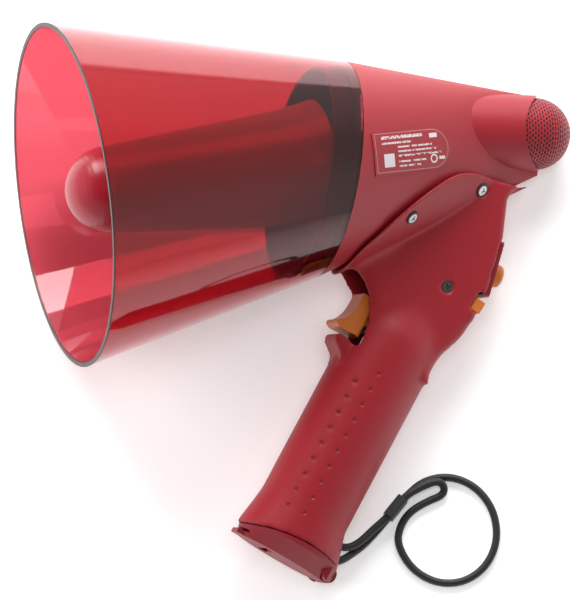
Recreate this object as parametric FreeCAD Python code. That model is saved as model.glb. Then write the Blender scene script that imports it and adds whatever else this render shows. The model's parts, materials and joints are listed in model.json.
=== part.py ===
import FreeCAD, Part
import math
import os

# A hand-held megaphone with a pistol grip, lying on its right side.
# It is designed in its own device frame: X runs back from the mouth along the horn's axis,
# Y points to the device's right and Z points up. The last section lays every part down on
# the surface with the left side up: it rests on the joint's edge, the foot and the dome.

# ---------------------------------------------------------------- driving dimensions (mm)
MOUTH_RADIUS = 78.0
HORN_SLOPE = 0.2305            # radius lost per millimetre of length
HORN_WALL = 2.0
JOINT_X = 127.2                # where the horn meets the body, on the axis
JOINT_TILT = 15.4              # degrees: the joint's top lies further back
JOINT_GAP = 0.3

BODY_WALL = 2.2
BODY_REAR_X = 230.0
BODY_REAR_HALF_HEIGHT = 19.0
BODY_REAR_HALF_WIDTH = 2.0
BODY_REAR_Z = 1.0

MIC_X = 231.4                  # centre of the microphone dome
MIC_Z = 1.6
MIC_DROOP = 8.0                # degrees
DOME_RADIUS = 16.9
DOME_WALL = 0.8
COLLAR_RADIUS = 18.1
COLLAR_FIT = 0.25

REFLECTOR_NOSE_X = 22.0
REFLECTOR_NOSE_RADIUS = 19.8
REFLECTOR_WAIST_X = 100.0
REFLECTOR_WAIST_RADIUS = 26.4
REFLECTOR_END_X = 121.8
REFLECTOR_END_RADIUS = 30.0
REFLECTOR_WALL = 1.8

DISH_DEPTH = 13.2              # how far the throat plate reaches into the horn
DISH_BACK = 8.0                # from the joint to the inner face of its back wall
DISH_WALL = 2.0
DISH_BACK_WALL = 3.0
THROAT_RADIUS = 9.2
THROAT_BORE = 7.0
THROAT_FRONT_X = 62.0

DRIVER_X = 148.0
DRIVER_RADIUS = 31.0
MAGNET_RADIUS = 23.0
MAGNET_LENGTH = 8.0
DRIVER_SCREW_CIRCLE = 28.3

GRIP_X = 115.3                 # a point on the grip's centreline
GRIP_Z = -128.3
GRIP_LEAN = 37.5               # degrees
GRIP_HALF_DEPTH = 22.0
GRIP_HALF_WIDTH = 18.2
GRIP_TOP = 54.0                # along the grip, up from that point
GRIP_SHOULDER = 73.0
GRIP_WALL = 1.8
FOOT_START = -36.0
FOOT_HALF_DEPTH = 26.0
FOOT_HALF_WIDTH = 19.0
FOOT_OFFSET = 1.2
FOOT_END = -60.3

HEAD_HALF_WIDTH = 13.0
HEAD_WALL = 2.2
FLANGE_GAP = 0.5
FLANGE_THICK = 2.8

CELL_RADIUS = 7.2
CELL_LENGTH = 50.5
CELL_GAP = 0.3
CELL_BOTTOM = -51.0

TRIGGER_HALF_WIDTH = 8.0
TRIGGER_PIVOT = (-17.5, 60.5)
TRIGGER_TRAVEL = 6.5           # degrees
PIN_RADIUS = 1.5
PIN_FIT = 0.05
SIDE_GAP = 0.5

PANEL_X = 198.3
PANEL_Z = -58.8
PANEL_LEAN = 25.2
PANEL_HALF_WIDTH = 11.4
PANEL_HALF_HEIGHT = 13.4
KNOB_RADIUS = 5.4
KNOB_HEIGHT = 6.4
SHAFT_RADIUS = 2.0

SLIDE_X = 189.3
SLIDE_Z = -74.4
SLIDE_LEAN = 41.5
SLIDE_TRAVEL = 3.0
SLIDE_INSET = 1.0              # how far its ends stay inside the head's sides

HINGE_PIVOT = (22.8, -56.0)
HINGE_RADIUS = 4.3
HINGE_PIN_HALF = 9.3
CAP_WALL = 2.0                 # thickness of the cap's floor
CAP_FLOOR_HALF_WIDTH = 11.2
LEAF_HALF_WIDTH = 2.2
# Outline of a cell's contact spring from the middle of its foot: the strip lies on the cap's floor and
# folds back to a tongue that leans up to the cell.
LEAF_SPRING = [(-3.4, 0.0), (3.2, 0.0), (3.2, 0.45), (-2.4, 0.45), (2.5, 6.85), (3.3, 6.6), (3.5, 7.0)]
STRAP_BAR = (20.3, -45.2)
STRAP_BAR_RADIUS = 1.4
CORD_DIAMETER = 3.6

FIT = 0.3                      # air between curved faces of different parts
FAR = 400.0


# ---------------------------------------------------------------- small helpers
def vec(x, y, z):
    return FreeCAD.Vector(x, y, z)


def turned(x, z, degrees):
    """A frame on the mid plane, turned about the device's Y axis."""
    return FreeCAD.Placement(vec(x, 0, z), FreeCAD.Rotation(vec(0, 1, 0), degrees))


GRIP = turned(GRIP_X, GRIP_Z, GRIP_LEAN)       # x: back across the grip, z: up along it
MIC = turned(MIC_X, MIC_Z, MIC_DROOP)          # x: out along the collar
PANEL = turned(PANEL_X, PANEL_Z, PANEL_LEAN)   # x: out of the panel, z: up along it
SLIDE = turned(SLIDE_X, SLIDE_Z, SLIDE_LEAN)   # x: out of the rear edge, z: up along it
JOINT = turned(JOINT_X, 0, JOINT_TILT)         # x: back across the horn's joint


def placed(shape, frame):
    moved = shape.copy()
    moved.Placement = frame.multiply(moved.Placement)
    return moved


def block(x0, x1, y0, y1, z0, z1):
    return Part.makeBox(x1 - x0, y1 - y0, z1 - z0, vec(x0, y0, z0))


def rod_x(radius, x0, x1, y=0.0, z=0.0):
    return Part.makeCylinder(radius, x1 - x0, vec(x0, y, z), vec(1, 0, 0))


def rod_y(radius, x, z, y0, y1):
    return Part.makeCylinder(radius, y1 - y0, vec(x, y0, z), vec(0, 1, 0))


def rod_z(radius, x, y, z0, z1):
    return Part.makeCylinder(radius, z1 - z0, vec(x, y, z0), vec(0, 0, 1))


def joint_slab(x0, x1):
    """All that lies between two planes parallel to the horn's joint."""
    return placed(block(x0, x1, -FAR, FAR, -FAR, FAR), JOINT)


def turned_profile(points):
    """A solid of revolution about the X axis from (x, radius) points."""
    corners = [vec(x, 0, r) for x, r in points]
    face = Part.Face(Part.makePolygon(corners + corners[:1]))
    return face.revolve(vec(0, 0, 0), vec(1, 0, 0), 360)


def oval(half_x, half_y, x, z):
    """A closed oval wire in a plane of constant z, with its seam on the +X side."""
    if half_x >= half_y:
        curve = Part.Ellipse(vec(half_x, 0, 0), vec(0, half_y, 0), vec(0, 0, 0))
    else:
        curve = Part.Ellipse(vec(0, half_y, 0), vec(half_x, 0, 0), vec(0, 0, 0))
    wire = Part.Wire(curve.toShape())
    wire.translate(vec(x, 0, z))
    return wire


def oval_loft(sections):
    return Part.makeLoft([oval(*section) for section in sections], True, True)


def plate_xz(points, half_width, smooth=None):
    """An outline in the XZ plane, given half_width each way along Y.

    smooth lists the index ranges of the points that one smooth curve joins.
    """
    corners = [vec(x, -half_width, z) for x, z in points]
    edges = []
    at = 0
    spans = {start: end for start, end in smooth or []}
    while at < len(corners) - 1:
        end = spans.get(at, at + 1)
        if end > at + 1:
            curve = Part.BSplineCurve()
            curve.interpolate(corners[at:end + 1])
            edges.append(curve.toShape())
        else:
            edges.append(Part.makeLine(corners[at], corners[end]))
        at = end
    edges.append(Part.makeLine(corners[-1], corners[0]))
    face = Part.Face(Part.Wire(edges))
    return face.extrude(vec(0, 2 * half_width, 0))


def inset(points, distance):
    """The same open row of points, moved to its left by a distance."""
    moved = []
    for i, (x, z) in enumerate(points):
        before = points[max(i - 1, 0)]
        after = points[min(i + 1, len(points) - 1)]
        run = (after[0] - before[0], after[1] - before[1])
        size = math.hypot(*run)
        moved.append((x - run[1] / size * distance, z + run[0] / size * distance))
    return moved


def coil(radius, wire_radius, pitch, length):
    """A helical spring along +Z from the origin."""
    path = Part.makeHelix(pitch, length, radius)
    section = Part.Wire(Part.makeCircle(wire_radius, vec(radius, 0, 0), vec(0, 1, 0)))
    return Part.Wire(path).makePipeShell([section], True, True)


def joined(shapes):
    return shapes[0].fuse(shapes[1:]).removeSplitter()


PARTS = {}


def keep(name, shape):
    PARTS[name] = shape


# ---------------------------------------------------------------- horn and reflector
def horn_cone(inset_by):
    """The horn's cone, made smaller all round, as a solid that runs past the joint."""
    length = JOINT_X + 60
    return Part.makeCone(MOUTH_RADIUS - inset_by, MOUTH_RADIUS - HORN_SLOPE * length - inset_by,
                         length, vec(0, 0, 0), vec(1, 0, 0))


def horn_bell():
    shell = horn_cone(0).cut(horn_cone(HORN_WALL))
    return shell.cut(joint_slab(-JOINT_GAP / 2, FAR))


def reflector_outline(inset_by):
    """(x, radius) points of the reflector from its nose to its open end."""
    radius = REFLECTOR_NOSE_RADIUS - inset_by
    nose = []
    for step in range(13):
        angle = math.radians(90 * step / 12)
        nose.append((REFLECTOR_NOSE_X - radius * math.cos(angle), radius * math.sin(angle)))
    flare = []
    for step in range(1, 7):
        share = step / 6
        rise = (REFLECTOR_END_RADIUS - REFLECTOR_WAIST_RADIUS) * (0.5 * share + 0.5 * share ** 2)
        x = REFLECTOR_WAIST_X + (REFLECTOR_END_X - REFLECTOR_WAIST_X) * share
        flare.append((x, REFLECTOR_WAIST_RADIUS + rise - inset_by))
    return nose + [(REFLECTOR_WAIST_X, REFLECTOR_WAIST_RADIUS - inset_by)] + flare


def reflector_bell():
    outer = reflector_outline(0)
    inner = reflector_outline(REFLECTOR_WALL)
    shell = turned_profile(outer + inner[::-1])
    hub_x0 = THROAT_FRONT_X + 14
    hub_x1 = hub_x0 + 20
    bore = rod_x(THROAT_RADIUS + PIN_FIT, hub_x0 - 1, hub_x1 + 1)
    hub = rod_x(THROAT_RADIUS + 1.8, hub_x0, hub_x1)
    solid_inside = turned_profile(reflector_outline(REFLECTOR_WALL / 2)
                                  + [(REFLECTOR_END_X, 0), (REFLECTOR_NOSE_X, 0)])
    fins = []
    for step in range(3):
        fin = block(hub_x0, hub_x1, -0.9, 0.9, THROAT_RADIUS + 1, REFLECTOR_END_RADIUS)
        fin.rotate(vec(0, 0, 0), vec(1, 0, 0), 60 + 120 * step)
        fins.append(fin.common(solid_inside))
    return joined([shell, hub] + fins).cut(bore)


# ---------------------------------------------------------------- body
def joint_axes(inset_by):
    """Centre, up direction and half sizes of the horn's outline on the joint plane."""
    tilt = math.tan(math.radians(JOINT_TILT))
    radius = MOUTH_RADIUS - HORN_SLOPE * JOINT_X
    top = radius / (1 + HORN_SLOPE * tilt)
    bottom = -radius / (1 - HORN_SLOPE * tilt)
    middle = (top + bottom) / 2
    half_height = (top - bottom) / 2 / math.cos(math.radians(JOINT_TILT)) - inset_by
    middle_radius = radius - HORN_SLOPE * tilt * middle
    half_width = math.sqrt(middle_radius ** 2 - middle ** 2) - inset_by
    centre = vec(JOINT_X + tilt * middle, 0, middle)
    up = vec(math.sin(math.radians(JOINT_TILT)), 0, math.cos(math.radians(JOINT_TILT)))
    return centre, up, half_height, half_width


def joint_oval(inset_by):
    """The horn's outline on the joint plane, as a wire with its seam at the top."""
    centre, up, half_height, half_width = joint_axes(inset_by)
    curve = Part.Ellipse(centre + up * half_height, centre + vec(0, half_width, 0), centre)
    return Part.Wire(curve.toShape())


def body_form(inset_by, rear_x=BODY_REAR_X):
    """The body's tapering outer form, made smaller all round; it ends at rear_x."""
    share = (rear_x - JOINT_X) / (BODY_REAR_X - JOINT_X)
    radius = MOUTH_RADIUS - HORN_SLOPE * JOINT_X
    half_height = radius + (BODY_REAR_HALF_HEIGHT - radius) * share - inset_by
    half_width = radius + (BODY_REAR_HALF_WIDTH - radius) * share - inset_by
    centre = vec(rear_x, 0, BODY_REAR_Z * share)
    curve = Part.Ellipse(centre + vec(0, 0, half_height), centre + vec(0, half_width, 0), centre)
    return Part.makeLoft([joint_oval(inset_by), Part.Wire(curve.toShape())], True, True)


def surface_point(form, x, z):
    """Where a form's left side lies at (x, z), and its outward direction there."""
    line = Part.makeLine(vec(x, -FAR, z), vec(x, 0, z))
    inside = line.common(form)
    y = min(v.Point.y for v in inside.Vertexes)
    here = vec(x, y, z)
    face = min(form.Faces, key=lambda f: f.distToShape(Part.Vertex(here))[0])
    u, v = face.Surface.parameter(here)
    normal = face.normalAt(u, v)
    if normal.y > 0:
        normal = normal * -1
    return here, normal


FLANGE_SCREWS = ((154.5, -28.8), (195.0, -20.4))


def flange_screw_axes():
    """(foot on the body, outward direction) of the four screws that hold the flange."""
    form = body_form(0)
    axes = []
    for x, z in FLANGE_SCREWS:
        foot, out = surface_point(form, x, z)
        axes.append((foot, out))
        axes.append((vec(foot.x, -foot.y, foot.z), vec(out.x, -out.y, out.z)))
    return axes


def stub(radius, foot, out, start, end):
    """A cylinder along an outward direction, from start to end past its foot."""
    return Part.makeCylinder(radius, end - start, foot + out * start, out)


def collar_cut():
    """The round scoop across the collar that shows the dome from the side."""
    return placed(rod_y(19.1, 7.4, 0, -FAR, FAR), MIC)


def body_shell():
    outer = body_form(0)
    collar = placed(rod_x(COLLAR_RADIUS, -44, 1.6), MIC)
    solid = joined([outer, collar])
    hollow = body_form(BODY_WALL, 206.0)
    seat = placed(rod_x(DOME_RADIUS + COLLAR_FIT, -12, 30), MIC)
    passage = placed(rod_x(10.0, -60, 0), MIC)
    shell = solid.cut([hollow, seat, passage, collar_cut()])
    bosses = []
    holes = []
    for foot, out in flange_screw_axes():
        bosses.append(stub(3.2, foot, out, -6.2, -0.5))
        holes.append(stub(SCREW_RADIUS + PIN_FIT, foot, out, -5.8, 20))
    shell = joined([shell] + bosses)
    wires = rod_z(WIRE_HOLE_RADIUS, WIRE_HOLE_X, 0, -60, -20)
    return shell.cut(holes + [wires, joint_slab(-FAR, JOINT_GAP / 2)])


SCREW_RADIUS = 1.4
WIRE_HOLE_RADIUS = 4.5
WIRE_HOLE_X = 172.0


def throat_plate():
    front = horn_cone(HORN_WALL + 2.5).common(joint_slab(-DISH_DEPTH, -3))
    spigot = horn_cone(HORN_WALL + FIT).common(joint_slab(-4, 0))
    form = body_form(BODY_WALL + FIT)
    seat = form.common(joint_slab(0, DISH_BACK + DISH_BACK_WALL))
    boss = rod_x(DRIVER_RADIUS, JOINT_X, DRIVER_X).common(joint_slab(DISH_BACK + 1, FAR))
    hollow_front = horn_cone(HORN_WALL + 2.5 + DISH_WALL).common(joint_slab(-DISH_DEPTH - 1, 0.5))
    hollow_back = body_form(BODY_WALL + FIT + 2.5).common(joint_slab(0, DISH_BACK))
    throat = rod_x(THROAT_RADIUS + PIN_FIT, JOINT_X - 10, DRIVER_X + 1)
    recess = rod_x(13.1, DRIVER_X - 3.1, DRIVER_X + 1)
    plate = joined([front, spigot, seat, boss])
    screws = [rod_x(SCREW_RADIUS + PIN_FIT, DRIVER_X - 4, DRIVER_X + 1, y, z) for y, z in driver_screw_places()]
    return plate.cut([hollow_front, hollow_back, throat, recess] + screws)


def driver_screw_places():
    places = []
    for step in range(4):
        angle = math.radians(45 + 90 * step)
        places.append((DRIVER_SCREW_CIRCLE * math.cos(angle), DRIVER_SCREW_CIRCLE * math.sin(angle)))
    return places


def driver():
    """The compression driver behind the throat plate."""
    x = DRIVER_X
    keep("throat_tube", turned_profile([
        (THROAT_FRONT_X, THROAT_BORE + 1.2), (x, THROAT_BORE), (x, 13), (x - 3, 13),
        (x - 3, THROAT_RADIUS), (THROAT_FRONT_X, THROAT_RADIUS)]))
    frame = turned_profile([(x, THROAT_BORE), (x + 1.4, THROAT_BORE), (x + 1.4, 21), (x + 4, 21),
                            (x + 4, DRIVER_RADIUS), (x, DRIVER_RADIUS)])
    holes = [rod_x(SCREW_RADIUS + PIN_FIT, x - 1, x + 5, y, z) for y, z in driver_screw_places()]
    keep("driver_frame", frame.cut(holes))
    keep("diaphragm", turned_profile([
        (x + 2.0, 0), (x + 2.3, 6), (x + 3.4, 13.2), (x + 3.4, 20.6), (x + 3.9, 20.6),
        (x + 3.9, 13.0), (x + 2.8, 6), (x + 2.5, 0)]))
    plate_end = x + 7
    magnet_end = plate_end + MAGNET_LENGTH
    keep("driver_top_plate", turned_profile([(x + 4, 14), (x + 4, MAGNET_RADIUS), (plate_end, MAGNET_RADIUS),
                                             (plate_end, 14)]))
    keep("driver_magnet", turned_profile([(plate_end, 16), (plate_end, MAGNET_RADIUS), (magnet_end, MAGNET_RADIUS),
                                          (magnet_end, 16)]))
    keep("driver_yoke", turned_profile([(x + 4.6, 0), (x + 4.6, 13), (magnet_end, 13), (magnet_end, MAGNET_RADIUS - 1),
                                        (magnet_end + 3, MAGNET_RADIUS - 1), (magnet_end + 3, 0)]))
    screws = []
    for y, z in driver_screw_places():
        head = rod_x(2.8, x + 4, x + 6, y, z)
        slot = block(x + 5.2, x + 6.5, y - 0.35, y + 0.35, z - 3, z + 3)
        shank = rod_x(SCREW_RADIUS, x - 3.5, x + 4, y, z)
        screws.append(joined([head, shank]).cut(slot))
    keep("driver_screws", Part.makeCompound(screws))


def microphone():
    tube = rod_x(DOME_RADIUS, -12, 0)
    ball = Part.makeSphere(DOME_RADIUS).common(block(0, 30, -30, 30, -30, 30))
    inner_tube = rod_x(DOME_RADIUS - DOME_WALL, -13, 0)
    inner_ball = Part.makeSphere(DOME_RADIUS - DOME_WALL)
    keep("mic_grille", placed(joined([tube, ball]).cut([inner_tube, inner_ball]), MIC))
    inside = DOME_RADIUS - DOME_WALL - FIT
    holder = rod_x(inside, -12, -7).cut(rod_x(5.0, -13, -6))
    keep("mic_holder", placed(holder, MIC))
    keep("mic_capsule", placed(rod_x(5.0 - PIN_FIT, -11.5, -5.5), MIC))
    foam = joined([rod_x(inside, -6.7, 0), Part.makeSphere(inside).common(block(0, 30, -30, 30, -30, 30))])
    keep("mic_foam", placed(foam.cut(rod_x(5.3, -7, -5)), MIC))


# ---------------------------------------------------------------- handle
HEAD_FRONT = [(119.0, -47.0), (124.8, -49.6), (129.2, -55.3), (131.6, -62.0), (131.0, -70.0), (126.0, -84.0)]
HEAD_REAR = [(158.0, -108.0), (167.8, -94.6), (178.0, -88.1), (185.9, -78.8), (192.6, -70.9),
             (198.3, -58.8), (204.0, -46.7), (206.7, -36.7), (209.2, -27.6), (212.0, -24.4), (216.5, -21.8)]
SADDLE = [(119.0, -58.0), (124.2, -50.4), (127.0, -44.2), (140.0, -34.2), (154.0, -25.4), (167.6, -18.4),
          (179.6, -13.8), (188.1, -13.2), (196.7, -15.2), (206.0, -18.8), (217.0, -22.6)]


def head_form(inset_by):
    """The flat-sided upper part of the handle, from the grip up into the body."""
    front = inset(HEAD_FRONT, -inset_by)
    rear = inset(HEAD_REAR, inset_by)
    points = rear + [(190.0, 10.0), (135.0, -10.0)] + front
    last = len(points) - 1
    first_front = len(rear) + 2
    smooth = [(0, 4), (6, 8), (first_front, last)]
    return plate_xz(points, HEAD_HALF_WIDTH - inset_by, smooth)


def under_saddle():
    """Everything below the line where the handle's flange ends on the body's side."""
    points = SADDLE + [(260.0, -22.6), (260.0, -300.0), (60.0, -300.0), (60.0, -58.0)]
    return plate_xz(points, FAR, [(1, len(SADDLE) - 1)])


def flange_form():
    """A trough that hugs the underside of the body."""
    return body_form(-FLANGE_GAP - FLANGE_THICK)


def grip_form(inset_by):
    depth = GRIP_HALF_DEPTH - inset_by
    width = GRIP_HALF_WIDTH - inset_by
    return oval_loft([
        (FOOT_HALF_DEPTH - inset_by, FOOT_HALF_WIDTH - inset_by, FOOT_OFFSET, FOOT_END - 6),
        (FOOT_HALF_DEPTH - inset_by, FOOT_HALF_WIDTH - inset_by, FOOT_OFFSET, FOOT_END + 7),
        (depth, width, 0, FOOT_START)]).fuse([
            oval_loft([(depth, width, 0, FOOT_START), (depth, width, 0, GRIP_TOP)]),
            oval_loft([(depth, width, 0, GRIP_TOP), (depth, HEAD_HALF_WIDTH - inset_by - 1, 0, GRIP_SHOULDER)])
        ]).removeSplitter()


def foot_joint(gap):
    """Everything below the arched joint between the grip and the battery cap."""
    arch = Part.Circle(vec(-24.8, 0, -55.6), vec(1, 0, -50.5), vec(27.1, 0, -52.9))
    under = rod_y(arch.Radius - gap, arch.Center.x, arch.Center.z, -FAR, FAR)
    barrel = rod_y(HINGE_RADIUS + FIT - gap, HINGE_PIVOT[0], HINGE_PIVOT[1], -FAR, FAR)
    return under.fuse(barrel)


TRIGGER_OUTLINE = [(-25.4, 64.2), (-25.4, 58.0), (-26.2, 53.6), (-28.2, 49.8), (-30.6, 47.8), (-30.6, 46.0),
                   (-28.4, 44.8), (-17.4, 45.4)]


def trigger_window():
    """The opening in the front of the grip that the trigger moves in."""
    half = TRIGGER_HALF_WIDTH + SIDE_GAP
    return block(-40, -15.5, -half, half, 42.8, 65.2)


def lip():
    """The finger rest under the trigger."""
    points = [(-14.0, 30.0), (-21.0, 30.0), (-25.0, 36.5), (-27.6, 39.2), (-27.8, 41.2), (-25.0, 42.4), (-14.0, 42.4)]
    return plate_xz(points, 8.6, [(1, 5)])


def dimples():
    """Two rows of shallow round dimples on each side of the grip."""
    balls = []
    for u, count, top in ((-12.0, 9, 25.2), (-4.4, 10, 33.4)):
        half_width = GRIP_HALF_WIDTH * math.sqrt(1 - (u / GRIP_HALF_DEPTH) ** 2)
        for step in range(count):
            for side in (-1, 1):
                ball = Part.makeSphere(1.5, vec(u, side * (half_width + 0.8), top - 8.07 * step))
                balls.append(ball)
    return balls


def panel_recess():
    return placed(block(-2.6, 12, -PANEL_HALF_WIDTH - FIT, PANEL_HALF_WIDTH + FIT,
                        -PANEL_HALF_HEIGHT - FIT, PANEL_HALF_HEIGHT + FIT), PANEL)


def slide_window():
    return placed(block(-4.6, 12, -FAR, FAR, -4.9, 1.3 + SLIDE_TRAVEL + FIT), SLIDE)


def handle():
    grip = placed(grip_form(0), GRIP)
    head = head_form(0)
    edges = []
    for edge in head.Edges:
        ends = edge.BoundBox
        side = abs(abs(ends.YMin) - HEAD_HALF_WIDTH) < 0.01 and abs(ends.YMin - ends.YMax) < 0.01
        if side and ends.XMax < 134:
            edges.append((edge, 6.0))
        if side and ends.XMin > 150 and ends.ZMax < -15:
            edges.append((edge, 3.0))
    head = fillet_some(head, edges)
    upper = joined([head, flange_form()]).common(under_saddle())
    solid = joined([grip, upper, placed(lip(), GRIP)])
    clear_body = body_form(-FLANGE_GAP).fuse(placed(rod_x(COLLAR_RADIUS + FLANGE_GAP, -60, 10), MIC))
    foot = placed(foot_joint(0), GRIP)
    grip_hollow = placed(grip_form(GRIP_WALL), GRIP)
    head_hollow = head_form(HEAD_WALL).cut(body_form(-FLANGE_GAP - FLANGE_THICK))
    shell = solid.cut([clear_body, foot, grip_hollow, head_hollow])
    pocket = placed(block(14.8, 40, -4.2, 4.2, -50.9, -39.5), GRIP)
    pocket_wall = placed(block(14.8 - 1.4, 25.5, -5.8, 5.8, -51.3, -38.0), GRIP)
    pocket_wall = pocket_wall.common(placed(grip_form(0.5), GRIP)).cut(foot)
    ears = []
    for y0, y1 in ((-9.0, -5.6), (5.6, 9.0)):
        ear = rod_y(HINGE_RADIUS - 0.3, HINGE_PIVOT[0], HINGE_PIVOT[1], y0, y1)
        stem = block(HINGE_PIVOT[0] - 2.4, HINGE_PIVOT[0] + 2.4, y0, y1, HINGE_PIVOT[1], -49.0)
        ears.append(placed(ear.fuse(stem), GRIP).common(placed(grip_form(0.3), GRIP)))
    shell = joined([shell, pocket_wall] + ears + screw_posts())
    cuts = [pocket, placed(trigger_window(), GRIP), panel_recess(), slide_window()]
    cuts.append(placed(rod_y(STRAP_BAR_RADIUS + PIN_FIT, *STRAP_BAR, -9, 9), GRIP))
    cuts.append(placed(rod_y(PIN_RADIUS + PIN_FIT, *HINGE_PIVOT, -9.5, 9.5), GRIP))
    cuts.append(rod_z(WIRE_HOLE_RADIUS, WIRE_HOLE_X, 0, -60, -20))
    cuts.extend(placed(ball, GRIP) for ball in dimples())
    for foot_point, out in flange_screw_axes():
        cuts.append(stub(SCREW_RADIUS + 0.2, foot_point, out, -1, 20))
        cuts.append(stub(WELL_RADIUS + FIT / 2, foot_point, out, FLANGE_GAP + 1.6, 20))
    cuts.extend(post_bores())
    return shell.cut(cuts)


WELL_RADIUS = 3.2
GRIP_SCREW = (173.2, -64.1)
PIVOT_POST = (-17.5, 60.5)


def fillet_some(solid, edges):
    for radius in sorted({r for _, r in edges}):
        chosen = [e for e, r in edges if r == radius]
        matches = [e for e in solid.Edges if any(e.isSame(c) or close(e, c) for c in chosen)]
        solid = solid.makeFillet(radius, matches)
    return solid


def close(a, b):
    return (a.CenterOfMass - b.CenterOfMass).Length < 0.01 and abs(a.Length - b.Length) < 0.01


def screw_posts():
    """Posts inside the shells: at the grip screw, at the trigger's pin and under the board."""
    posts = []
    inner = HEAD_HALF_WIDTH - 1
    posts.append(rod_y(3.4, GRIP_SCREW[0], GRIP_SCREW[1], -inner, inner))
    for y0, y1 in ((-inner, -5.2), (5.2, inner)):
        posts.append(placed(rod_y(3.2, *PIVOT_POST, y0, y1), GRIP))
    for x, z in BOARD_SCREWS:
        posts.append(rod_y(2.8, x, z, BOARD_Y + BOARD_THICK, inner))
    return posts


def post_bores():
    bores = [rod_y(SCREW_RADIUS + 0.1, GRIP_SCREW[0], GRIP_SCREW[1], -20, 11.0)]
    bores.append(rod_y(2.9, GRIP_SCREW[0], GRIP_SCREW[1], -20, -HEAD_HALF_WIDTH + 2.2))
    bores.append(placed(rod_y(PIN_RADIUS + PIN_FIT, *PIVOT_POST, -10.5, 10.5), GRIP))
    for x, z in BOARD_SCREWS:
        bores.append(rod_y(BOARD_SCREW_RADIUS + PIN_FIT, x, z, BOARD_Y - 1, BOARD_Y + 6.5))
    return bores


BOARD_Y = 2.0
BOARD_THICK = 1.6
BOARD_SCREW_RADIUS = 1.0
BOARD_X = (152.0, 190.0)
BOARD_Z = (-84.0, -56.0)
BOARD_SCREWS = ((156.0, -60.0), (176.5, -78.5))


def grip_shells():
    whole = handle()
    left = whole.common(block(0, 300, -60, 0, -220, 20))
    right = whole.common(block(0, 300, 0, 60, -220, 20))
    keep("grip_shell_left", largest(left))
    keep("grip_shell_right", largest(right))


def largest(shape):
    return max(shape.Solids, key=lambda s: s.Volume)


def cross_head(radius, height):
    """A screw head along +X with a cross recess, its top at x = 0."""
    head = rod_x(radius, -height, 0)
    slots = [block(-height * 0.55, 1, -0.35, 0.35, -radius * 0.62, radius * 0.62),
             block(-height * 0.55, 1, -radius * 0.62, radius * 0.62, -0.35, 0.35)]
    return head.cut(slots)


def aimed(shape, foot, out):
    """Turn a shape made along +X so that it points along out from its foot."""
    return placed(shape, FreeCAD.Placement(foot, FreeCAD.Rotation(vec(1, 0, 0), out)))


def fasteners():
    screws = []
    wells = []
    for foot, out in flange_screw_axes():
        seat = FLANGE_GAP + 1.6
        well = rod_x(WELL_RADIUS, seat, seat + 1.3).cut(rod_x(WELL_RADIUS - 0.6, seat + 0.5, seat + 2))
        wells.append(aimed(well.cut(rod_x(SCREW_RADIUS + 0.15, 0, seat + 2)), foot, out))
        head = cross_head(WELL_RADIUS - 0.8, 0.9)
        head.translate(vec(seat + 1.4, 0, 0))
        screw = joined([head, rod_x(SCREW_RADIUS, -5.3, seat + 0.6)])
        screws.append(aimed(screw, foot, out))
    keep("flange_screws", Part.makeCompound(screws))
    keep("screw_wells", Part.makeCompound(wells))
    y = -HEAD_HALF_WIDTH + 0.6
    head = cross_head(2.6, 1.6)
    screw = joined([head, rod_x(SCREW_RADIUS, -22, -1.5)])
    keep("grip_screw", aimed(screw, vec(GRIP_SCREW[0], y, GRIP_SCREW[1]), vec(0, -1, 0)))
    board = []
    for x, z in BOARD_SCREWS:
        pan = joined([cross_head(1.9, 1.3), rod_x(BOARD_SCREW_RADIUS, -7.0, -1.2)])
        board.append(aimed(pan, vec(x, BOARD_Y - 1.3, z), vec(0, -1, 0)))
    keep("board_screws", Part.makeCompound(board))


def trigger_parts():
    u, w = TRIGGER_PIVOT
    outline = TRIGGER_OUTLINE + [(-17.4, 51.6), (-13.0, 53.6), (-12.9, 57.2), (-14.4, 62.2), (-17.5, 64.0)]
    body = plate_xz(outline, TRIGGER_HALF_WIDTH, [(0, 4)])
    keep_wide = block(-40, -19.0, -TRIGGER_HALF_WIDTH, TRIGGER_HALF_WIDTH, 30, 70)
    keep_narrow = block(-19.2, 0, -4.8, 4.8, 30, 70)
    body = body.common(joined([keep_wide, keep_narrow]))
    slot = block(u - 3.6, u + 3.6, -2.6, 2.6, w - 3.6, w + 5)
    pin_hole = rod_y(PIN_RADIUS + PIN_FIT, u, w, -10, 10)
    keep("trigger", placed(body.cut([slot, pin_hole]), GRIP))
    keep("trigger_pin", placed(rod_y(PIN_RADIUS, u, w, -10.2, 10.2), GRIP))
    spring = coil(2.35, 0.35, 1.0, 4.4)
    spring.rotate(vec(0, 0, 0), vec(1, 0, 0), -90)
    spring.translate(vec(u, -2.2, w))
    keep("trigger_spring", placed(spring, GRIP))
    plunger = joined([rod_x(1.2, u + 5.0, u + 8.5, 0, 55.0), rod_x(1.8, u + 7.0, u + 8.5, 0, 55.0)])
    keep("switch_plunger", placed(plunger, GRIP))
    case = block(u + 6.2, u + 13.0, -3.2, 3.2, 52.4, 58.6)
    case = case.cut([rod_x(1.2 + PIN_FIT, u + 5, u + 7, 0, 55.0), rod_x(2.0, u + 6.8, u + 11.0, 0, 55.0)])
    legs = [rod_x(0.4, u + 13.0, u + 15.0, y, 55.5) for y in (-2.0, 0.0, 2.0)]
    keep("talk_switch", placed(joined([case] + legs), GRIP))


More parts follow.
